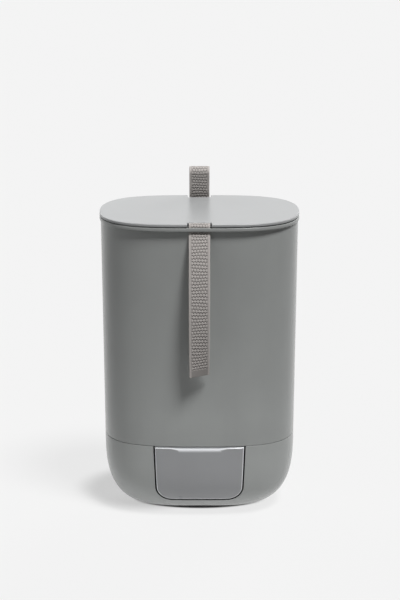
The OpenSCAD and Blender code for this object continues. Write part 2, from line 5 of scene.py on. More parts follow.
import bmesh
import bpy
from bpy.props import FloatProperty, FloatVectorProperty, PointerProperty
from bpy.types import Operator, Panel, PropertyGroup
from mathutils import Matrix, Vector


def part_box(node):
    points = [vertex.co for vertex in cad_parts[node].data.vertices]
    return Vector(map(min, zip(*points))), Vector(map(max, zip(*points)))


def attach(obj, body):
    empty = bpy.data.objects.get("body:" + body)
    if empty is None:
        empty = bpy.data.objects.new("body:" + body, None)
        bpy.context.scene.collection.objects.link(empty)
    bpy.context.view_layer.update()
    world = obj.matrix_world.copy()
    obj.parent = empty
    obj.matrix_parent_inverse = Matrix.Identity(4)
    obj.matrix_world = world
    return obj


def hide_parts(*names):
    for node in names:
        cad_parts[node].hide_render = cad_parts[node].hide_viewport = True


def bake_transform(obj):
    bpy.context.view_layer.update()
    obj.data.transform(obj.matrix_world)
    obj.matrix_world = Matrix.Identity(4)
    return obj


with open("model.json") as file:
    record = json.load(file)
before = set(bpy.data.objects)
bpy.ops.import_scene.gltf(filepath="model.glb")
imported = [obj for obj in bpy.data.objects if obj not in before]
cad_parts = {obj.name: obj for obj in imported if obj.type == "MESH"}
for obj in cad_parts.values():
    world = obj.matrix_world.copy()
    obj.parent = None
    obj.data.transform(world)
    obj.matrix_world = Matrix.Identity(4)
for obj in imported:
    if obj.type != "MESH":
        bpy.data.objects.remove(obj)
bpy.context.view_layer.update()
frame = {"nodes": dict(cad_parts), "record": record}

bl_info = {
    "name": "Bokashi Bin",
    "version": (1, 0, 0),
    "blender": (4, 5, 0),
    "location": "View3D > Sidebar > Bin",
    "description": "Dresses a bokashi bin: mouldings, webbing straps, fittings and stage",
    "category": "Add Mesh",
}

# Everything is in metres, with +Z up and the front toward -Y
SLOTS = {row["node"]: row["material_slot"] for row in frame["record"]["subparts"]}
BODIES = {
    node: body for body, nodes in frame["record"]["behaviour"]["bodies"].items() for node in nodes
}
LID_LOW, LID_TOP = (corner.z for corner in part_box("lid_cover"))
RIM_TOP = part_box("bucket")[1].z
SEAM_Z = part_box("bucket")[0].z
BASE_LOW, BASE_TOP = (corner.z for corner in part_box("base_shell"))
PAD_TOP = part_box("foot_pad")[1].z
# The cup is drawn a little narrower and taller than its solid
CUP_SLACK = 0.0006
CUP_RISE = 0.0007
CUP_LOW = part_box("leachate_cup")[0].z + CUP_SLACK
CUP_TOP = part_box("leachate_cup")[1].z + CUP_RISE
CUP_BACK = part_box("leachate_cup")[1].y
CUP_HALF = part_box("leachate_cup")[1].x - CUP_SLACK
SPIGOT_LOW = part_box("bucket_spigot")[0].z
BAY_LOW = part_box("cup_bay")[0].z

# Plan shapes: exponents of the rounded rectangles along X and along Y, and of the bowl's side
LID_SHAPE = (3.54, 2.39)
BODY_SHAPE = (3.4, 2.6)
BOWL_ROUND = 3

# The lid's edge lies a hair above its plate, and the rim's top steps down under that edge
LID_GAP = 0.0001
RIM_STEP = 0.0009
RIM_STEP_IN = 0.0026
LID_PLATE_IN = 0.0022
STEP_IN = 0.0001

# Half widths and half depths of the plan outlines, how far the rim is proud of the wall at the
# sides and in front, and how wide the foot's edge round its pad is, with the pad's gap
RIM_PROUD = (0.0014, 0.0044)
PAD_EDGE = 0.0084
PAD_GAP = 0.0003
LID_HALF = tuple(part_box("bucket")[1].xy)
BODY_HALF = tuple(half - proud for half, proud in zip(LID_HALF, RIM_PROUD))
SEAM_HALF = tuple(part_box("base_shell")[1].xy)
FOOT_HALF = tuple(half + PAD_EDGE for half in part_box("foot_pad")[1].xy)

# Walls, rim, ledge and ribs, and how deep joined parts run into each other
WALL = 0.0026
RIM_H = 0.0052
LAP = 0.0006
RIM_LOW = RIM_TOP - RIM_H
BASE_FLOOR = 0.003
SPIGOT_T = 0.0022
LEDGE_T = 0.003
LEDGE_MOUTH = 0.0603
RIB_HALF = 0.026
RIB_T = 0.0024
RIB_PLACES = (-0.024, 0.012)

# A strap's pocket round its keeper, with a slot for the webbing, the backing behind it, and the
# lid's notch above it
KEEPER_LOW, KEEPER_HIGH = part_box("rear_strap_keeper")
FIT_GAP = 0.0001
RIM_SKIN = 0.0016
SLOT_GAP = 0.00005
SLOT_DROP = 0.0018
BACKING_SIDE = 0.0034
BACKING_T = 0.002
BACKING_DEEP = 0.012
NOTCH_SIDE = 0.0004
NOTCH_BACK = 0.0012
POCKET_HALF = KEEPER_HIGH.x + FIT_GAP
POCKET_IN = KEEPER_LOW.y - FIT_GAP
POCKET_OUT = LID_HALF[1] - RIM_SKIN
POCKET_LOW = KEEPER_LOW.z - FIT_GAP
SLOT_IN = BODY_HALF[1] + SLOT_GAP
SLOT_LOW = RIM_LOW - SLOT_DROP
BACKING_HALF = POCKET_HALF + BACKING_SIDE
BACKING_IN = POCKET_IN - BACKING_T
BACKING_ROOT = BODY_HALF[1] - LAP
NOTCH_HALF = KEEPER_HIGH.x + NOTCH_SIDE
NOTCH_IN = POCKET_IN - NOTCH_BACK

# Cup: taper of its face, corners, walls and finger lip
CUP_TAPER = 0.002
CUP_CORNER = 0.018
CUP_ROOM = 0.0012
CUP_GAP = CUP_ROOM + CUP_SLACK
CUP_WALL = 0.0022
CUP_SIDE_DROP = 0.0084
CUP_LIP_DEEP = 0.006
OPENING_BACK = -0.02
LIP_CUT = 0.0019
LIP_SIDE_H = 0.0024
LIP_MID_H = 0.0046
LIP_MID_HALF = 0.0245
LIP_SLANT = 0.0095
LIP_BLEND = 0.0004

# Webbing: its section, its place, and the lengths and turns of its runs, bends and loops
STRAP_HALF = 0.0125
STRAP_T = 0.0016
STRAP_Y = 0.08448
FRONT_BEND_Z = 0.3555
REAR_BEND_Z = 0.3665
FRONT_LEAN = math.radians(20)
FRONT_TURN = math.radians(34)
FRONT_LENGTH = 0.1728
REAR_LEAN = math.radians(-12)
REAR_RISE = 0.0305
FOLD_R = 0.005
FOLD_TURN = math.radians(80)
CURL_R = 0.013
CURL_TURN = math.radians(82)
REAR_DROP = 0.022
BAR_Z = 0.3616
LOOP_R = 0.00308
LOOP_TURN = math.radians(222)
FULL_LOOP_R = 0.0036
FULL_LOOP_TURN = math.radians(200)
FULL_LOOP_RISE = 0.0014
CREASE = 0.002
REAR_CREASE = 0.001
BEND_REACH = 0.002

# How a strap thins out at its ends, fades to its selvage, and how far its smooth parts are sunk
END_START = 0.0004
END_REACH = 0.0006
END_SHARE = 0.35
SELVAGE_FADE_SHARE = 0.2
SMOOTH_SHARE = 0.2

# Weave: how far a valley runs to and fro, the slow waves of the ribs, and how they end at the hem
ZIGZAG = 0.32
RIPPLE = 0.22
RIPPLE_WIDE = 0.031
RIPPLE_LONG = 0.047
HEM_EDGE = 0.0012

# Finishes: unevenness of a moulded gloss, depths of pores, brushed lines and fibres, and the plies
UNEVEN_GLOSS = 0.05
PORE_DEPTH = 0.00002
BRUSHED_DEPTH = 0.000008
FIBRE_DEPTH = 0.0001
PLY_WIDE = 0.00068
PLY_LONG = 0.0016

# Mesh detail: points round a plan outline and the finer steps that space them, steps of rounded
# edges and corners, rings up the bowl and the wall, and cells of the cup's face and the webbing
AROUND = 256
FINE_STEPS = 16
EDGE_STEPS = 4
CORNER_STEPS = 20
BOWL_RINGS = 34
WALL_RINGS = 8
CUP_COLUMNS = 48
CUP_ROWS = 30
LIP_ROWS = 10
LIP_ROW_GAP = 0.0002
CUP_EDGE_SHARES = (0.06, 0.2, 0.45, 1)
STRAP_CELLS = 42
STEPS_PER_RIB = 9

# Tolerances: points that merge, here and in a CAD node's copy, points at one level, and bends that
# count as straight, flat or sharp
MERGE = 1e-7
COPY_MERGE = 1e-6
NEAR = 1e-5
STRAIGHT = 1e-9
FLAT = math.radians(0.2)
SHARP = math.radians(38)
WEBBING_SHARP = math.radians(60)
FULL_TURN = 2 * math.pi


class BinSizes(PropertyGroup):
    """Sizes of the mouldings' rounded edges and of the weave."""

    lid_edge: FloatProperty(
        name="Lid edge", description="Radius of the lid's top edge", default=0.0009,
        min=0.0002, unit="LENGTH",
    )
    rim_edge: FloatProperty(
        name="Rim edge", description="Radius of the bucket's rim edges", default=0.0008,
        min=0.0001, unit="LENGTH",
    )
    seam_edge: FloatProperty(
        name="Seam edge", description="Radius of the edges at the seam over the base", default=0.0004,
        min=0.0001, unit="LENGTH",
    )
    cup_edge: FloatProperty(
        name="Cup edge", description="Radius of the edge round the cup's face", default=0.0013,
        min=0.0002, unit="LENGTH",
    )
    inner_edge: FloatProperty(
        name="Inner edges", description="Radius of the edges of the inner parts", default=0.0004,
        min=0.0001, unit="LENGTH",
    )
    rib_pitch: FloatProperty(
        name="Rib pitch", description="Distance between the webbing's ribs", default=0.0037,
        min=0.001, unit="LENGTH",
    )
    yarn_pitch: FloatProperty(
        name="Yarn pitch", description="Width of two yarns side by side across the webbing", default=0.0034,
        min=0.001, unit="LENGTH",
    )
    rib_depth: FloatProperty(
        name="Rib depth", description="Depth of the valleys between the ribs", default=0.00055,
        min=0, unit="LENGTH",
    )
    selvage: FloatProperty(
        name="Selvage", description="Width of the webbing's smooth edge at each side", default=0.0028,
        min=0.0005, unit="LENGTH",
    )
    hem: FloatProperty(
        name="Hem", description="Length of the front strap's smooth end", default=0.0085,
        min=0.001, unit="LENGTH",
    )
    twist: FloatProperty(
        name="Twist", description="How far the front strap's end turns", default=math.radians(20),
        unit="ROTATION", subtype="ANGLE",
    )


def colour_property(name, description, default):
    return FloatVectorProperty(
        name=name, description=description, default=default, size=3, min=0, max=1, subtype="COLOR"
    )


class BinColours(PropertyGroup):
    """Base colours of the finishes."""

    body: colour_property("Body", "Satin plastic of the bucket and the base", (0.345, 0.357, 0.35))
    lid: colour_property("Lid", "Plastic of the lid's cover", (0.395, 0.404, 0.407))
    cup: colour_property("Cup", "Plastic of the cup", (0.31, 0.315, 0.324))
    bay: colour_property("Bay", "Dark plastic of the bay and the strap keepers", (0.045, 0.047, 0.048))
    inner: colour_property("Inner parts", "Plastic of the strainer, press and plug", (0.30, 0.315, 0.31))
    tap: colour_property("Tap", "Plastic of the tap's body and nut", (0.09, 0.093, 0.095))
    key: colour_property("Tap key", "Plastic of the tap's key", (0.19, 0.195, 0.198))
    rubber: colour_property("Rubber", "Rubber of the pad, seals and washer", (0.02, 0.02, 0.021))
    steel: colour_property("Steel", "Steel of the screws and the clip", (0.62, 0.62, 0.63))
    webbing: colour_property("Webbing", "Cotton webbing of the straps", (0.5, 0.467, 0.447))
    floor: colour_property("Floor", "Pale floor of the stage", (0.75, 0.75, 0.75))


def plan_point(turn, half, shape, inset=0):
    """Point of a rounded rectangle at a turn angle, drawn in by an inset."""
    along = [math.cos(turn), math.sin(turn)]
    return [
        math.copysign((size - inset) * abs(a) ** (2 / power), a)
        for a, size, power in zip(along, half, shape)
    ]


def even_turns(count):
    """Turn angles whose points lie at even distances round the rim."""
    steps = FINE_STEPS * count
    marks = [Vector(plan_point(FULL_TURN * i / steps, LID_HALF, LID_SHAPE)) for i in range(steps + 1)]
    travelled = [0]
    for here, there in zip(marks, marks[1:]):
        travelled.append(travelled[-1] + (there - here).length)
    turns, i = [], 0
    for k in range(count):
        goal = travelled[-1] * k / count
        while travelled[i + 1] <= goal:
            i += 1
        turns.append(FULL_TURN * (i + (goal - travelled[i]) / (travelled[i + 1] - travelled[i])) / steps)
    return turns


TURNS = even_turns(AROUND)


def spread(low, high, count):
    """Places that part a length in equal steps, without its ends."""
    return [low + (high - low) * k / count for k in range(1, count)]


def ring(half, shape, inset, z):
    """Points of a plan outline at a height, drawn in by an inset."""
    return [Vector((*plan_point(turn, half, shape, inset), z)) for turn in TURNS]


def edge_arc(radius):
    """How far in and how far down a rounded edge is, from its side face to its end face."""
    angles = [math.pi / 2 * k / EDGE_STEPS for k in range(EDGE_STEPS + 1)]
    return [(radius * (1 - math.cos(a)), radius * (1 - math.sin(a))) for a in angles]


def bucket_half(z):
    """Half sizes of the bucket's drafted wall at a height."""
    share = (z - SEAM_Z) / (RIM_LOW - SEAM_Z)
    return [low + (high - low) * share for low, high in zip(SEAM_HALF, BODY_HALF)]


def bowl_angle(z):
    """Angle up the bowl's curve at a height: 0 at the ground and a quarter turn at the seam."""
    return math.acos(max(0, 1 - z / BASE_TOP) ** (BOWL_ROUND / 2))


def bowl_height(angle):
    """Height on the bowl's curve at an angle."""
    return BASE_TOP * (1 - math.cos(angle) ** (2 / BOWL_ROUND))


def bowl_turned(angle):
    """How far the bowl's curve has drawn in, from 0 at the seam to 1 at the ground."""
    return 1 - math.sin(angle) ** (2 / BOWL_ROUND)


def bowl_half(angle, inset=0):
    """Half sizes of the bowl's plan at an angle, down to those of its foot."""
    share = bowl_turned(angle) / bowl_turned(bowl_angle(BASE_LOW))
    return [high - (high - low) * share - inset for high, low in zip(SEAM_HALF, FOOT_HALF)]


def bowl_front(x, z, inset=0):
    """How far forward the bowl's face is at a place seen from the front."""
    half = bowl_half(bowl_angle(z), inset)
    return -half[1] * max(0, 1 - abs(x / half[0]) ** BODY_SHAPE[0]) ** (1 / BODY_SHAPE[1])


def shell(rings, loop=False, lays=None):
    """A grid wrapped through rings of points, with its seams merged and its open ends filled.

    loop joins the last ring to the first. lays holds each point's lay on a cloth, kept with it."""
    rows = rings + rings[:1] if loop else rings
    around, up = len(rings[0]), len(rows) - 1
    bm = bmesh.new()
    lay = bm.verts.layers.float_vector.new("lay") if lays else None
    bmesh.ops.create_grid(bm, x_segments=around, y_segments=up, size=1)
    for vert in bm.verts:
        i = round((vert.co.x + 1) / 2 * around) % around
        j = round((vert.co.y + 1) / 2 * up)
        vert.co = rows[j][i]
        if lays:
            vert[lay] = lays[j][i]
    bmesh.ops.remove_doubles(bm, verts=bm.verts, dist=MERGE)
    bmesh.ops.holes_fill(bm, edges=[edge for edge in bm.edges if edge.is_boundary])
    bmesh.ops.recalc_face_normals(bm, faces=bm.faces)
    return bm


def block(low, high):
    """A box between two corners."""
    bm = bmesh.new()
    bmesh.ops.create_cube(bm, size=1)
    low, high = Vector(low), Vector(high)
    bmesh.ops.scale(bm, vec=high - low, verts=bm.verts)
    bmesh.ops.translate(bm, vec=(low + high) / 2, verts=bm.verts)
    return bm


def add_object(name, data):
    """A new object in the scene."""
    made = bpy.data.objects.new(name, data)
    bpy.context.scene.collection.objects.link(made)
    return made


def draw_in(bm, face, thickness):
    """Draws a face in, with a band of new faces round it."""
    bmesh.ops.inset_region(
        bm, faces=[face], thickness=thickness, use_boundary=True, use_even_offset=True
    )


def carve(bm, tool, operation):
    """Joins a mesh to a tool, or cuts the tool out of it."""
    objects = []
    for part in (bm, tool):
        mesh = bpy.data.meshes.new("carving")
        part.to_mesh(mesh)
        part.free()
        objects.append(add_object("carving", mesh))
    work, cutter = objects
    modifier = work.modifiers.new("carving", "BOOLEAN")
    modifier.operation = operation
    modifier.solver = "EXACT"
    modifier.object = cutter
    shown = work.evaluated_get(bpy.context.evaluated_depsgraph_get())
    result = bmesh.new()
    result.from_mesh(shown.to_mesh())
    shown.to_mesh_clear()
    for item in objects:
        mesh = item.data
        bpy.data.objects.remove(item)
        bpy.data.meshes.remove(mesh)
    if not result.faces:
        raise RuntimeError("a carving left nothing")
    return result


def add_piece(name, bm, node, sharp=SHARP, rides=True):
    """Makes a mesh the piece that stands for a CAD node, with the node's body, finish and slot."""
    mesh = bpy.data.meshes.new(name)
    bm.to_mesh(mesh)
    bm.free()
    mesh.shade_smooth()
    mesh.set_sharp_from_angle(angle=sharp)
    piece = add_object(name, mesh)
    mesh.materials.append(finish_of(node))
    if rides:
        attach(piece, BODIES[node])
    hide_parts(node)
    return piece


def add_rounded_copy(node, radius):
    """A copy of a CAD node with its triangles merged, its curves smooth and its edges rounded."""
    bm = bmesh.new()
    bm.from_mesh(frame["nodes"][node].data)
    bmesh.ops.remove_doubles(bm, verts=bm.verts, dist=COPY_MERGE)
    bmesh.ops.dissolve_limit(bm, angle_limit=FLAT, verts=bm.verts, edges=bm.edges)
    piece = add_piece(node + "_moulded", bm, node)
    if "custom_normal" in piece.data.attributes:
        piece.data.attributes.remove(piece.data.attributes["custom_normal"])
    rounding = piece.modifiers.new("Rounded edges", "BEVEL")
    rounding.width = radius
    rounding.segments = 2
    rounding.limit_method = "ANGLE"
    rounding.angle_limit = SHARP
    rounding.harden_normals = True


def dress(node):
    """Gives a CAD node that is shown as it is the finish of its slot."""
    frame["nodes"][node].data.materials[0] = finish_of(node)


class Value:
    """A number from a node's socket, with the operators that the patterns use."""

    def __init__(self, finish, socket):
        self.finish = finish
        self.socket = socket

    def __add__(self, other):
        return self.finish.maths("ADD", self, other)

    def __sub__(self, other):
        return self.finish.maths("SUBTRACT", self, other)

    def __rsub__(self, other):
        return self.finish.maths("SUBTRACT", other, self)

    def __mul__(self, other):
        return self.finish.maths("MULTIPLY", self, other)

    def __truediv__(self, other):
        return self.finish.maths("DIVIDE", self, other)

    def __pow__(self, other):
        return self.finish.maths("POWER", self, other)

    __radd__ = __add__
    __rmul__ = __mul__


class Finish:
    """The nodes of a material or a world, made from values."""

    def __init__(self, owner):
        self.owner = owner
        owner.use_nodes = True
        self.tree = owner.node_tree
        self.tree.nodes.clear()

    def node(self, kind, settings=None, inputs=None):
        """A node of a kind, with its settings made first and then the values or links of its sockets."""
        made = self.tree.nodes.new(kind)
        for key, setting in (settings or {}).items():
            setattr(made, key, setting)
        for key, given in (inputs or {}).items():
            if isinstance(given, Value):
                self.tree.links.new(given.socket, made.inputs[key])
            else:
                made.inputs[key].default_value = given
        return made

    def value(self, kind, settings=None, inputs=None, output=0):
        return Value(self, self.node(kind, settings, inputs).outputs[output])

    def maths(self, operation, first, second=0):
        return self.value("ShaderNodeMath", {"operation": operation}, {0: first, 1: second})

    def place(self, scale=(1, 1, 1), start=None):
        """The piece's own coordinates, or those given, stretched along each axis."""
        start = start or self.value("ShaderNodeTexCoord", output="Object")
        return self.value("ShaderNodeMapping", inputs={"Vector": start, "Scale": scale})

    def distance(self, place, centre=(0, 0, 0)):
        return self.value("ShaderNodeVectorMath", {"operation": "DISTANCE"}, {0: place, 1: centre}, "Value")

    def rays(self, *kinds):
        """1 for a ray of one of the kinds, and 0 for any other."""
        found = [self.value("ShaderNodeLightPath", output=f"Is {kind} Ray") for kind in kinds]
        return functools.reduce(self.larger, found)

    def noise(self, place, scale, detail):
        return self.value(
            "ShaderNodeTexNoise", {"noise_dimensions": "3D"},
            {"Vector": place, "Scale": scale, "Detail": detail}, "Fac",
        )

    def wave(self, phase):
        """A wave between 0 and 1 of a phase in turns."""
        return self.maths("COSINE", phase * FULL_TURN) * 0.5 + 0.5

    def rounded(self, value):
        return self.maths("ROUND", value)

    def apart(self, first, second):
        return self.maths("ABSOLUTE", first - second)

    def larger(self, first, second):
        return self.maths("MAXIMUM", first, second)

    def mix(self, first, second, share):
        """Two colours mixed by a share."""
        colours = {6: first, 7: second}
        colours = {key: c if isinstance(c, Value) else (*c, 1) for key, c in colours.items()}
        return self.value("ShaderNodeMix", {"data_type": "RGBA"}, {0: share, **colours}, 2)

    def between(self, value, low, high):
        """Where a value lies between two limits, from 0 to 1."""
        return self.value(
            "ShaderNodeMapRange", {"interpolation_type": "SMOOTHSTEP"}, {0: value, 1: low, 2: high}
        )

    def bump(self, height, distance, strength=1):
        inputs = {"Height": height, "Distance": distance, "Strength": strength}
        return self.value("ShaderNodeBump", None, inputs)

    def surface(self, **inputs):
        """Ends the material with one shader. Names are its sockets, with _ for a space."""
        sockets = {name.replace("_", " "): given for name, given in inputs.items()}
        shader = self.value("ShaderNodeBsdfPrincipled", None, sockets)
        self.node("ShaderNodeOutputMaterial", None, {"Surface": shader})
        return self.owner


class Sums:
    """What a pattern asks of a finish, for plain numbers."""

    @staticmethod
    def wave(phase):
        return 0.5 + 0.5 * math.cos(FULL_TURN * phase)

    @staticmethod
    def rounded(value):
        return math.floor(value + 0.5)

    @staticmethod
    def apart(first, second):
        return abs(first - second)

    @staticmethod
    def larger(first, second):
        return max(first, second)


def rib_height(sums, across, along, sizes):
    """Height of the weave, from 0 in a valley to 1 on a rib.

    The yarns of two neighbouring ribs stand side by side, so the valley between them is a zigzag."""
    ripple = sums.wave(across / RIPPLE_WIDE + along / RIPPLE_LONG) * RIPPLE
    place = along / sizes.rib_pitch + ripple
    row = sums.rounded(place)
    side = sums.wave(row * 0.5) * 2 - 1
    half = side * (sums.wave(across / sizes.yarn_pitch) * 2 - 1) * ZIGZAG + 0.5
    off = sums.apart(place, row)
    own = 1 - (off / half) ** 2
    neighbour = 1 - ((1 - off) / (1 - half)) ** 2
    return sums.larger(own, neighbour)


def shade(colour, by):
    """A colour made lighter or darker."""
    return tuple(min(1, part * by) for part in colour)


def moulded_plastic(name, colour, roughness, grain=0.000012, cloud=0.035, ior=1.5, highlight_lift=0):
    """Injection-moulded plastic: fine spark-eroded grain, faint flow clouds and a slightly uneven gloss.

    The highlight factor is how much lighter a painted highlight makes the places that the mesh marks,
    standing in for the light they catch."""
    finish = Finish(bpy.data.materials.new(name))
    place = finish.place()
    clouds = finish.noise(place, scale=16, detail=3)
    flow = finish.noise(finish.place((9, 9, 1.6)), scale=4, detail=2)
    grains = finish.noise(place, scale=1500, detail=2)
    waves = finish.noise(place, scale=34, detail=1)
    tone = clouds * 0.6 + flow * 0.4
    paint = finish.mix(shade(colour, 1 - cloud), shade(colour, 1 + cloud), finish.between(tone, 0.3, 0.7))
    # Painted highlight: the marked edges and finger lip are drawn lighter, standing in for light that falls
    # on them
    if highlight_lift:
        marked = finish.value("ShaderNodeAttribute", {"attribute_name": "painted_highlight"}, output="Fac")
        paint = finish.mix(paint, shade(colour, highlight_lift), marked)
    return finish.surface(
        Base_Color=paint,
        Roughness=(tone - 0.5) * UNEVEN_GLOSS + roughness,
        IOR=ior,
        Normal=finish.bump(grains + waves * 1.2, grain),
    )


def rubber(name, colour):
    """Soft rubber with a dull bloom."""
    finish = Finish(bpy.data.materials.new(name))
    place = finish.place()
    bloom = finish.noise(place, scale=45, detail=4)
    pores = finish.noise(place, scale=2200, detail=2)
    return finish.surface(
        Base_Color=finish.mix(shade(colour, 0.8), shade(colour, 1.7), finish.between(bloom, 0.35, 0.75)),
        Roughness=bloom * 0.2 + 0.62,
        Normal=finish.bump(pores, PORE_DEPTH),
    )


def brushed_steel(name, colour):
    """Stainless steel with a turned surface."""
    finish = Finish(bpy.data.materials.new(name))
    lines = finish.noise(finish.place((1, 1, 14)), scale=900, detail=2)
    stain = finish.noise(finish.place(), scale=60, detail=3)
    return finish.surface(
        Base_Color=finish.mix(shade(colour, 0.88), shade(colour, 1.05), stain),
        Metallic=1.0,
        Roughness=lines * 0.18 + 0.2,
        Normal=finish.bump(lines, BRUSHED_DEPTH),
    )


def cotton_webbing(name, colour, sizes):
    """Ribbed cotton webbing: yarns along the strap, painted shade in the valleys and painted highlight on the
    ribs, smooth selvages and fibres.
    """
    finish = Finish(bpy.data.materials.new(name))
    lay = finish.value("ShaderNodeAttribute", {"attribute_name": "lay"}, output="Vector")
    parts = finish.node("ShaderNodeSeparateXYZ", None, {"Vector": lay})
    across, along, ribbed = (Value(finish, parts.outputs[axis]) for axis in "XYZ")
    height = rib_height(finish, across, along, sizes)
    fibres = finish.noise(finish.place((3200, 900, 900), lay), scale=1, detail=3)
    plies = finish.wave(across / PLY_WIDE + along / PLY_LONG)
    uneven = finish.noise(finish.place(), scale=90, detail=3)
    relief = 1 - ribbed * (1 - height ** 0.9)
    # Painted shade darkens the valleys between the ribs, and painted highlight lightens the ribs and the
    # fibres on them
    painted_relief = finish.mix(shade(colour, 0.08), shade(colour, 1.15), relief)
    painted_crests = finish.mix(painted_relief, shade(colour, 1.2), (relief * fibres) ** 2)
    paint = finish.mix(painted_crests, shade(colour, 0.88), (uneven - 0.4) * 0.5)
    edge = STRAP_HALF - sizes.selvage
    inner = finish.between(finish.apart(across, 0), edge, edge + 0.3 * sizes.selvage)
    smooth = finish.mix(shade(colour, 0.7), shade(colour, 1.1), inner)
    paint = finish.mix(smooth, paint, ribbed)
    return finish.surface(
        Base_Color=paint,
        Roughness=fibres * 0.15 + 0.78,
        Specular_IOR_Level=0.25,
        Sheen_Weight=0.25,
        Sheen_Roughness=0.45,
        Normal=finish.bump(fibres * 0.6 + plies * 0.4, FIBRE_DEPTH, strength=0.8),
    )


def finish_of(node):
    """The material of a CAD node's slot, made the first time that it is asked for."""
    name = SLOTS[node] + "_finish"
    made = bpy.data.materials.get(name)
    if made:
        return made
    colours = bpy.context.scene.bin_colours
    sizes = bpy.context.scene.bin_sizes
    makers = {
        "body_plastic": lambda: moulded_plastic(name, colours.body, 0.24),
        "lid_plastic": lambda: moulded_plastic(name, colours.lid, 0.3, grain=0.000004, cloud=0.02, ior=1.58),
        # The cup's rounded edge and finger lip get a painted highlight
        "cup_plastic": lambda: moulded_plastic(
            name, colours.cup, 0.28, grain=0.000008, cloud=0.025, highlight_lift=2.7
        ),
        "bay_plastic": lambda: moulded_plastic(name, colours.bay, 0.5, grain=0.00002),
        "inner_plastic": lambda: moulded_plastic(name, colours.inner, 0.42),
        "tap_plastic": lambda: moulded_plastic(name, colours.tap, 0.38),
        "key_plastic": lambda: moulded_plastic(name, colours.key, 0.36),
        "rubber": lambda: rubber(name, colours.rubber),
        "steel": lambda: brushed_steel(name, colours.steel),
        "webbing": lambda: cotton_webbing(name, colours.webbing, sizes),
    }
    return makers[SLOTS[node]]()


def make_bucket(edge, seam_edge):
    """Drafted wall with an overhanging rim, a backing behind each strap and the pocket cut in it."""
    arc, low_arc = edge_arc(edge), edge_arc(seam_edge)

    def wall(z, inset=0):
        return ring(bucket_half(z), BODY_SHAPE, inset, z)

    def rim(z, inset=0):
        return ring(LID_HALF, LID_SHAPE, inset, z)

    levels = spread(SEAM_Z, RIM_LOW, WALL_RINGS)
    rings = [wall(SEAM_Z + down, into) for into, down in reversed(low_arc)]
    rings += [wall(z) for z in levels] + [wall(RIM_LOW)]
    rings += [rim(RIM_LOW + down, into) for into, down in reversed(arc)]
    rings += [rim(RIM_TOP - RIM_STEP - down, into) for into, down in arc]
    rings += [rim(RIM_TOP - RIM_STEP, RIM_STEP_IN), rim(RIM_TOP, RIM_STEP_IN + STEP_IN)]
    rings += [wall(RIM_TOP - down, WALL - into) for into, down in reversed(arc)]
    rings += [wall(z, WALL) for z in reversed(levels)] + [wall(SEAM_Z, WALL)]
    bm = shell(rings, loop=True)
    for side in (-1, 1):
        backing = block((-BACKING_HALF, BACKING_IN, 0), (BACKING_HALF, BACKING_ROOT, RIM_TOP))
        for vert in backing.verts:
            if vert.co.z < BACKING_DEEP:
                vert.co.z = RIM_TOP - BACKING_DEEP - (vert.co.y - BACKING_IN)
            vert.co.y *= side
        bmesh.ops.recalc_face_normals(backing, faces=backing.faces)
        bm = carve(bm, backing, "UNION")
    for side in (-1, 1):
        for inner, low, high in ((POCKET_IN, POCKET_LOW, RIM_TOP + WALL), (SLOT_IN, SLOT_LOW, RIM_TOP)):
            ends = sorted((side * inner, side * POCKET_OUT))
            pocket = block((-POCKET_HALF, ends[0], low), (POCKET_HALF, ends[1], high))
            bm = carve(bm, pocket, "DIFFERENCE")
    return bm


def make_lid(edge, low_edge):
    """Flat cover, notched front and rear round the straps, with every edge rounded and a step under it."""
    low = LID_LOW + LID_GAP
    bm = bmesh.new()
    bmesh.ops.create_circle(bm, cap_ends=True, segments=AROUND, radius=1)
    for vert in bm.verts:
        turn = TURNS[round(math.atan2(vert.co.y, vert.co.x) / FULL_TURN * AROUND) % AROUND]
        vert.co = Vector((*plan_point(turn, LID_HALF, LID_SHAPE), low))
    cuts = [((side * NOTCH_HALF, 0, 0), (1, 0, 0)) for side in (-1, 1)]
    cuts += [((0, side * NOTCH_IN, 0), (0, 1, 0)) for side in (-1, 1)]
    for place, direction in cuts:
        geometry = bm.verts[:] + bm.edges[:] + bm.faces[:]
        bmesh.ops.bisect_plane(bm, geom=geometry, dist=MERGE, plane_co=place, plane_no=direction)
    notches = [
        face for face in bm.faces
        if abs(face.calc_center_median().x) < NOTCH_HALF and abs(face.calc_center_median().y) > NOTCH_IN
    ]
    bmesh.ops.delete(bm, geom=notches, context="FACES")
    bmesh.ops.dissolve_faces(bm, faces=bm.faces)
    risen = bmesh.ops.extrude_face_region(bm, geom=bm.faces[:])["geom"]
    risen = [item for item in risen if isinstance(item, bmesh.types.BMVert)]
    bmesh.ops.translate(bm, vec=(0, 0, LID_TOP - low), verts=risen)
    bmesh.ops.recalc_face_normals(bm, faces=bm.faces)
    for z, radius in ((LID_TOP, edge), (low, low_edge)):
        edges = [e for e in bm.edges if all(abs(v.co.z - z) < NEAR for v in e.verts)]
        bmesh.ops.bevel(
            bm, geom=edges, offset=radius, offset_type="OFFSET", segments=EDGE_STEPS, profile=0.5,
            affect="EDGES", material=-1, clamp_overlap=True,
        )
        level = [face for face in bm.faces if abs(face.calc_center_median().z - z) < NEAR]
        flat = max(level, key=lambda face: face.calc_area())
        draw_in(bm, flat, low_edge)
    for thickness in (LID_PLATE_IN, STEP_IN):
        draw_in(bm, flat, thickness)
    bmesh.ops.translate(bm, vec=(0, 0, -LID_GAP), verts=flat.verts)
    return bm


def tub_face(grow, top, back):
    """Front view of the cup as one face: straight sides, rounded lower corners, grown by a gap."""
    radius = CUP_CORNER + grow
    low = CUP_LOW - grow
    lean = CUP_TAPER / (CUP_TOP - CUP_LOW - CUP_CORNER)
    sides = [CUP_HALF + grow - lean * (CUP_TOP - z) for z in (low, top)]
    corners = [(-sides[0], low), (sides[0], low), (sides[1], top), (-sides[1], top)]
    bm = bmesh.new()
    verts = [bm.verts.new((x, back, z)) for x, z in corners]
    bm.faces.new(verts)
    bmesh.ops.bevel(
        bm, geom=verts[:2], offset=radius, offset_type="OFFSET", segments=CORNER_STEPS, profile=0.5,
        affect="VERTICES", material=-1,
    )
    return bm


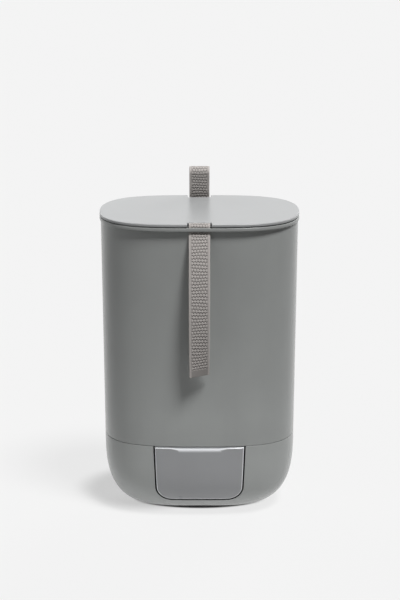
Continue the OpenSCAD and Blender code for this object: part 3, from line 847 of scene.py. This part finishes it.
def tub(grow, top, back, front):
    """Prism with the cup's front view. Its front face is returned too."""
    bm = tub_face(grow, top, back)
    made = bmesh.ops.extrude_face_region(bm, geom=bm.faces[:])["geom"]
    verts = [item for item in made if isinstance(item, bmesh.types.BMVert)]
    face = next(item for item in made if isinstance(item, bmesh.types.BMFace))
    bmesh.ops.translate(bm, vec=(0, front - back, 0), verts=verts)
    bmesh.ops.recalc_face_normals(bm, faces=bm.faces)
    return bm, face


def lip_height(x):
    """Height of the cup's finger lip at a place across its face."""
    share = (LIP_MID_HALF + LIP_SLANT - abs(x)) / LIP_SLANT
    return LIP_SIDE_H + (LIP_MID_H - LIP_SIDE_H) * min(1, max(0, share))


def lay_on_bowl(bm, face, behind, edge, steps):
    """Rounds the edge of a prism's front face, cuts the face in small cells and lays it on the bowl.

    behind is how far behind the bowl's face it lies, and steps holds the places of the cuts across and
    up. A face with a rounded edge gets the finger lip."""
    front_y = face.calc_center_median().y
    # The second layer marks the rounded edge and the finger lip for a painted highlight in the finish
    depth, painted_highlight = (bm.verts.layers.float.new(name) for name in ("depth", "painted_highlight"))
    for vert in face.verts:
        vert[depth] = edge
    gone = 0
    for share in CUP_EDGE_SHARES if edge else ():
        draw_in(bm, face, edge * (share - gone))
        gone = share
        for vert in face.verts:
            vert[depth] = edge * (1 - math.sqrt(1 - (1 - share) ** 2))
            vert[painted_highlight] = min(1, 2 * (1 - share))
    cuts = [((x, 0, 0), (1, 0, 0)) for x in steps[0]] + [((0, 0, z), (0, 0, 1)) for z in steps[1]]
    for place, direction in cuts:
        faces = [f for f in bm.faces if all(abs(v.co.y - front_y) < NEAR for v in f.verts)]
        geometry = list({item for f in faces for item in (*f.verts, *f.edges)}) + faces
        bmesh.ops.bisect_plane(bm, geom=geometry, dist=MERGE, plane_co=place, plane_no=direction)
    for vert in bm.verts:
        if abs(vert.co.y - front_y) < NEAR:
            lip = lip_height(vert.co.x)
            above = max(0, vert.co.z - CUP_TOP + lip) if edge else 0
            cut = LIP_CUT * above / lip
            vert[painted_highlight] = max(vert[painted_highlight], min(1, above / LIP_BLEND))
            vert.co.y = bowl_front(vert.co.x, vert.co.z, behind) + max(cut, vert[depth])


def make_cup(edge):
    """Tub whose face lies flush with the bowl, with a finger lip, thin walls and an open top."""
    far_front = -LID_HALF[1]
    lip_low = CUP_TOP - LIP_MID_H
    columns = spread(-CUP_HALF, CUP_HALF, CUP_COLUMNS)
    rows = spread(CUP_LOW, lip_low, CUP_ROWS) + spread(lip_low - LIP_ROW_GAP, CUP_TOP, LIP_ROWS)
    bm, face = tub(0, CUP_TOP, CUP_BACK, far_front)
    lay_on_bowl(bm, face, 0, edge, (columns, rows))
    hollow, face = tub(-CUP_WALL, BASE_TOP + WALL, CUP_BACK - CUP_WALL, far_front)
    lay_on_bowl(hollow, face, CUP_WALL, 0, (columns[::3], rows[::2]))
    for part in (bm, hollow):
        bmesh.ops.recalc_face_normals(part, faces=part.faces)
    bm = carve(bm, hollow, "DIFFERENCE")
    low = (-LID_HALF[0], CUP_LIP_DEEP - SEAM_HALF[1], CUP_TOP - CUP_SIDE_DROP)
    return carve(bm, block(low, (LID_HALF[0], LID_HALF[1], LID_TOP)), "DIFFERENCE")


def make_base(edge):
    """Bowl with a flat foot, the recess for its pad, the cup's opening, the bucket's ledge and two ribs."""
    top_angle = bowl_angle(BASE_TOP - 2 * edge)
    first, inner_first = bowl_angle(BASE_LOW), bowl_angle(BASE_LOW + BASE_FLOOR)

    def bowl(angle, inset):
        return ring(bowl_half(angle, inset), BODY_SHAPE, 0, bowl_height(angle))

    def pad(z):
        return ring(FOOT_HALF, BODY_SHAPE, PAD_EDGE - PAD_GAP, z)

    def angles(low):
        return [low + (top_angle - low) * k / BOWL_RINGS for k in range(BOWL_RINGS + 1)]

    arc = edge_arc(edge)
    rings = [pad(PAD_TOP), pad(BASE_LOW)] + [bowl(angle, 0) for angle in angles(first)]
    rings += [ring(SEAM_HALF, BODY_SHAPE, into, BASE_TOP - down) for into, down in arc]
    rings += [ring(SEAM_HALF, BODY_SHAPE, WALL - into, BASE_TOP - down) for into, down in reversed(arc)]
    rings += [bowl(angle, WALL) for angle in reversed(angles(inner_first))]
    bm = shell(rings)
    opening, _ = tub(CUP_GAP, BASE_TOP + WALL, OPENING_BACK, -LID_HALF[1])
    bm = carve(bm, opening, "DIFFERENCE")
    sides = (WALL - LAP, WALL + SPIGOT_T)
    corners = ((0, LEDGE_T), (0, 0), (1, 0), (1, LEDGE_T))
    ledge_rings = [ring(SEAM_HALF, BODY_SHAPE, sides[k], SPIGOT_LOW - down) for k, down in corners]
    ledge = shell(ledge_rings, loop=True)
    mouth = block((-LEDGE_MOUTH, -LID_HALF[1], 0), (LEDGE_MOUTH, 0, BASE_TOP))
    bm = carve(bm, carve(ledge, mouth, "DIFFERENCE"), "UNION")
    for y in RIB_PLACES:
        rib = block((-RIB_HALF, y, BASE_LOW + BASE_FLOOR - LAP), (RIB_HALF, y + RIB_T, BAY_LOW))
        bm = carve(bm, rib, "UNION")
    return bm


def route(start, heading, stretches, step):
    """Places along a strap in the YZ plane, with their headings from +Z toward +Y and ways gone.

    A stretch is its length and how far it turns."""
    y, z = start
    places, gone = [], 0
    for length, turn in stretches:
        count = max(2, round(length / step))
        for k in range(count):
            s = length * k / count
            places.append((*along_arc(y, z, heading, turn / length, s), heading + turn * k / count, gone + s))
        y, z = along_arc(y, z, heading, turn / length, length)
        heading += turn
        gone += length
    places.append((y, z, heading, gone))
    return places


def along_arc(y, z, heading, bend, s):
    """Place a length s further on, along a line or an arc."""
    if abs(bend) < STRAIGHT:
        return y + s * math.sin(heading), z + s * math.cos(heading)
    there = heading + bend * s
    return y + (math.cos(heading) - math.cos(there)) / bend, z + (math.sin(there) - math.sin(heading)) / bend


def make_webbing(places, sizes, hem=0, twist=0):
    """Ribbed strap along its places, with round edges. hem is the smooth length at its end.

    Each point's lay is its place across and along the cloth, and how far the cloth is ribbed there."""
    half_t = STRAP_T / 2
    flat = STRAP_HALF - half_t
    round_edge = (math.pi / 4, math.pi / 2, math.pi * 3 / 4)
    section = [(-flat + 2 * flat * k / STRAP_CELLS, 1) for k in range(STRAP_CELLS + 1)]
    section += [(flat + half_t * math.sin(a), math.cos(a)) for a in round_edge]
    section += [(-across, -side) for across, side in section]
    length = places[-1][3]
    rings, lays = [], []
    for y, z, heading, along in places:
        woven = min(1, max(0, (length - hem - along) / HEM_EDGE)) if hem else 1
        turned = twist * (along / length) ** 3
        face = Vector((0, -math.cos(heading), math.sin(heading)))
        side = Vector((1, 0, 0))
        side, face = (
            side * math.cos(turned) + face * math.sin(turned),
            face * math.cos(turned) - side * math.sin(turned),
        )
        end = min(1, (length - along + END_START) / END_REACH, (along + END_START) / END_REACH)
        points, lay = [], []
        for across, level in section:
            selvage = (STRAP_HALF - sizes.selvage - abs(across)) / (SELVAGE_FADE_SHARE * sizes.selvage)
            ribbed = min(1, max(0, selvage)) * woven
            sunk = (1 - rib_height(Sums, across, along, sizes)) * ribbed + SMOOTH_SHARE * (1 - ribbed)
            level *= (half_t - sizes.rib_depth * sunk * abs(level) ** 4) * max(END_SHARE, end)
            points.append(Vector((0, y, z)) + side * across + face * level)
            lay.append(Vector((across, along, ribbed)))
        rings.append(points)
        lays.append(lay)
    return shell(rings, lays=lays)


class BinOperator(Operator):
    """Shared base of the operators that make the bin's pieces."""

    bl_options = {"REGISTER", "UNDO"}

    @property
    def sizes(self):
        return bpy.context.scene.bin_sizes


class BIN_OT_lid(BinOperator):
    """Make the lid: its notched cover, and the plug and seal under it"""

    bl_idname = "bin.lid"
    bl_label = "Make lid"

    def execute(self, context):
        sizes = self.sizes
        bm = make_lid(sizes.lid_edge, sizes.inner_edge)
        add_piece("lid_cover_moulded", bm, "lid_cover")
        for node in ("lid_plug", "lid_seal"):
            add_rounded_copy(node, sizes.inner_edge)
        return {"FINISHED"}


class BIN_OT_bucket(BinOperator):
    """Make the bucket: its wall with the rim, its floor and the spigot under it"""

    bl_idname = "bin.bucket"
    bl_label = "Make bucket"

    def execute(self, context):
        sizes = self.sizes
        bm = make_bucket(sizes.rim_edge, sizes.seam_edge)
        add_piece("bucket_moulded", bm, "bucket")
        for node in ("bucket_floor", "bucket_spigot"):
            add_rounded_copy(node, sizes.inner_edge)
        return {"FINISHED"}


class BIN_OT_base(BinOperator):
    """Make the base: its bowl, the bay in it and the rubber pad under it"""

    bl_idname = "bin.base"
    bl_label = "Make base"

    def execute(self, context):
        sizes = self.sizes
        add_piece("base_moulded", make_base(sizes.seam_edge), "base_shell")
        for node in ("cup_bay", "foot_pad"):
            add_rounded_copy(node, sizes.inner_edge)
        return {"FINISHED"}


class BIN_OT_cup(BinOperator):
    """Make the pull-out cup"""

    bl_idname = "bin.cup"
    bl_label = "Make cup"

    def execute(self, context):
        add_piece("leachate_cup_moulded", make_cup(self.sizes.cup_edge), "leachate_cup")
        return {"FINISHED"}


class BIN_OT_inside(BinOperator):
    """Give the parts inside the bucket their finishes: strainer, press, tap and drain fittings"""

    bl_idname = "bin.inside"
    bl_label = "Make inner parts"

    nodes = (
        "strainer", "press_plate", "press_handle", "press_screws",
        "tap_body", "tap_key", "tap_seals", "tap_clip", "drain_gasket", "drain_nut",
    )

    def execute(self, context):
        for node in self.nodes:
            dress(node)
        return {"FINISHED"}


class BIN_OT_straps(BinOperator):
    """Make the webbing straps with their loops, and give the keepers in the rim their finish"""

    bl_idname = "bin.straps"
    bl_label = "Make straps"

    def execute(self, context):
        sizes = self.sizes
        for node in ("front_strap_keeper", "rear_strap_keeper"):
            dress(node)
        half_turn = math.pi
        # Each strap: its end of the bin, the heading in which it leaves the bar, the height of its bend,
        # its loop's radius, turn and rise, and its stretches from the bar on
        straps = {
            "front_strap": (-1, half_turn, FRONT_BEND_Z, (FULL_LOOP_R, FULL_LOOP_TURN, FULL_LOOP_RISE), [
                (BAR_Z + FULL_LOOP_RISE - FRONT_BEND_Z - CREASE, 0), (CREASE, FRONT_LEAN),
                (FRONT_LENGTH, -FRONT_TURN),
            ]),
            "rear_strap": (1, 0, REAR_BEND_Z, (LOOP_R, LOOP_TURN, 0), [
                (REAR_BEND_Z - BAR_Z - REAR_CREASE, 0), (REAR_CREASE, REAR_LEAN), (REAR_RISE, 0),
                (FOLD_R * FOLD_TURN, FOLD_TURN), (CURL_R * CURL_TURN, CURL_TURN), (REAR_DROP, 0),
            ]),
        }
        for node, (end, heading, bend_z, (radius, turn, rise), stretches) in straps.items():
            lap = radius * turn
            tail = along_arc(end * STRAP_Y, BAR_Z + rise, heading + half_turn, 1 / radius, lap)
            places = route(
                tail, heading + turn, [(lap, -turn), *stretches], sizes.rib_pitch / STEPS_PER_RIB
            )
            hanging = node == "front_strap"
            bm = make_webbing(places, sizes, sizes.hem if hanging else 0, sizes.twist if hanging else 0)
            piece = add_piece(node + "_woven", bm, node, WEBBING_SHARP, rides=False)
            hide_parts(node, node + "_loop")
            up = math.cos(heading)
            bend = [(0, end * STRAP_Y, bend_z + up * reach) for reach in (-BEND_REACH, BEND_REACH)]
            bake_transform(piece)
            node + "_keeper"
        return {"FINISHED"}


class BIN_OT_stage(BinOperator):
    """Make the pale floor, the studio light and the camera"""

    bl_idname = "bin.stage"
    bl_label = "Make stage"

    # Camera: its place, its tilt from straight down, its lens and sensor, and its sideways shift
    eye = (0, -2.2922, 0.8471)
    tilt = math.radians(75.5)
    lens = 116.586
    sensor = 36
    shift = 0.00093

    # Floor: how far out it lights the bin, over what length that fades, and to what share
    floor_half = 40
    lit_floor = 0.15
    lit_fade = 0.3
    dim_share = 0.06

    # White that the floor shows over its own shading: none under the foot's ellipse, less beside the
    # shaded place and more away from it
    paper_white = 0.91
    foot = (0.08, 0.04)
    foot_fade = (0.93, 1.07)
    shaded = (-0.07, 0.035, 0)
    shade_reach = (0.055, 0.095)
    near_share = 0.55
    far_share = 0.86

    # Studio: its white for the camera, how brightly it is mirrored from in front of the bin and from
    # behind it, and how far round behind it is at its brightest
    backdrop_white = 0.92
    dim_mirrored = 0.22
    mirrored = 1.0
    behind_reach = 0.5

    # Lamps: the way each one shines from, its width in the sky and its strength
    lamps = {
        "key": ((0.289, -0.34, 0.895), math.radians(16), 3.3),
        "fill": ((-0.814, -0.47, 0.342), math.radians(50), 0.5),
        "right_edge": ((0.462, 0.87, 0.174), math.radians(28), 1.75),
        "left_edge": ((-0.615, 0.76, 0.208), math.radians(38), 0.8),
    }

    def execute(self, context):
        scene = context.scene
        scene.view_settings.view_transform = "Standard"
        self.make_floor(scene)
        self.make_world(scene)
        for name, (source, width, strength) in self.lamps.items():
            lamp = bpy.data.lights.new(name, "SUN")
            lamp.angle = width
            lamp.energy = strength
            holder = add_object(name, lamp)
            holder.location = source
            holder.rotation_euler = Vector(source).to_track_quat("Z", "Y").to_euler()
            # A raised lid would mirror the lamps behind the bin
            holder.visible_glossy = not name.endswith("edge")
        camera = bpy.data.cameras.new("camera")
        camera.lens = self.lens
        camera.sensor_width = self.sensor
        camera.shift_x = self.shift
        holder = add_object("camera", camera)
        holder.location = self.eye
        holder.rotation_euler = (self.tilt, 0, 0)
        scene.camera = holder
        return {"FINISHED"}

    def make_floor(self, scene):
        """Paper that is shown white round the bin's shadow, and lights the bin only from close by."""
        mesh = bpy.data.meshes.new("floor")
        bm = bmesh.new()
        bmesh.ops.create_grid(bm, x_segments=8, y_segments=8, size=self.floor_half)
        bm.to_mesh(mesh)
        bm.free()
        floor = add_object("floor", mesh)
        finish = Finish(bpy.data.materials.new("floor_paper"))
        colour = scene.bin_colours.floor
        place = finish.place()
        fibre = finish.noise(place, scale=240, detail=3)
        paint = finish.mix(shade(colour, 0.99), shade(colour, 1.01), fibre)
        seen = finish.rays("Camera", "Glossy", "Transmission")
        away = finish.distance(place)
        beyond = finish.between(away, self.lit_floor, self.lit_floor + self.lit_fade) * (1 - seen)
        paint = finish.mix(paint, shade(colour, self.dim_share), beyond)
        paper = finish.value(
            "ShaderNodeBsdfPrincipled", None,
            {"Base Color": paint, "Roughness": 0.85, "Specular IOR Level": 0.2},
        )
        white = finish.value(
            "ShaderNodeEmission", None, {"Color": (1, 1, 1, 1), "Strength": self.paper_white}
        )
        under = finish.distance(finish.place((1 / self.foot[0], 1 / self.foot[1], 1)))
        clear = finish.between(finish.distance(place, self.shaded), *self.shade_reach)
        lift = clear * (self.far_share - self.near_share) + self.near_share
        lift = seen * finish.between(under, *self.foot_fade) * lift
        shown = finish.value("ShaderNodeMixShader", None, {0: lift, 1: paper, 2: white})
        finish.node("ShaderNodeOutputMaterial", None, {"Surface": shown})
        mesh.materials.append(finish.owner)

    def make_world(self, scene):
        """A studio that only mirrors and the camera see, with its brightest mirrored part behind the bin."""
        scene.world = bpy.data.worlds.new("studio")
        studio = Finish(scene.world)
        way = studio.value("ShaderNodeTexCoord", output="Generated")
        parts = studio.node("ShaderNodeSeparateXYZ", None, {"Vector": way})
        behind = studio.between(Value(studio, parts.outputs["Y"]), 0, self.behind_reach)
        mirrored = behind * (self.mirrored - self.dim_mirrored) + self.dim_mirrored
        strength = mirrored * studio.rays("Glossy")
        strength = strength + studio.rays("Camera", "Transmission") * (self.backdrop_white - strength)
        light = studio.value("ShaderNodeBackground", None, {"Color": (1, 1, 1, 1), "Strength": strength})
        studio.node("ShaderNodeOutputWorld", None, {"Surface": light})


STEPS = (BIN_OT_lid, BIN_OT_bucket, BIN_OT_base, BIN_OT_cup, BIN_OT_inside, BIN_OT_straps, BIN_OT_stage)


class BIN_PT_panel(Panel):
    """Lists the bin's sizes, colours and steps."""

    bl_label = "Bokashi bin"
    bl_idname = "BIN_PT_panel"
    bl_space_type = "VIEW_3D"
    bl_region_type = "UI"
    bl_category = "Bin"

    def draw(self, context):
        for group in (context.scene.bin_sizes, context.scene.bin_colours):
            column = self.layout.column(align=True)
            for name in group.__annotations__:
                column.prop(group, name)
        for step in STEPS:
            self.layout.operator(step.bl_idname)


CLASSES = (BinSizes, BinColours, *STEPS, BIN_PT_panel)


def register():
    for item in CLASSES:
        bpy.utils.register_class(item)
    bpy.types.Scene.bin_sizes = PointerProperty(type=BinSizes)
    bpy.types.Scene.bin_colours = PointerProperty(type=BinColours)


def unregister():
    del bpy.types.Scene.bin_colours
    del bpy.types.Scene.bin_sizes
    for item in reversed(CLASSES):
        bpy.utils.unregister_class(item)


def main():
    register()
    for step in STEPS:
        group, name = step.bl_idname.split(".")
        getattr(getattr(bpy.ops, group), name)()


if __name__ == "__main__":
    main()
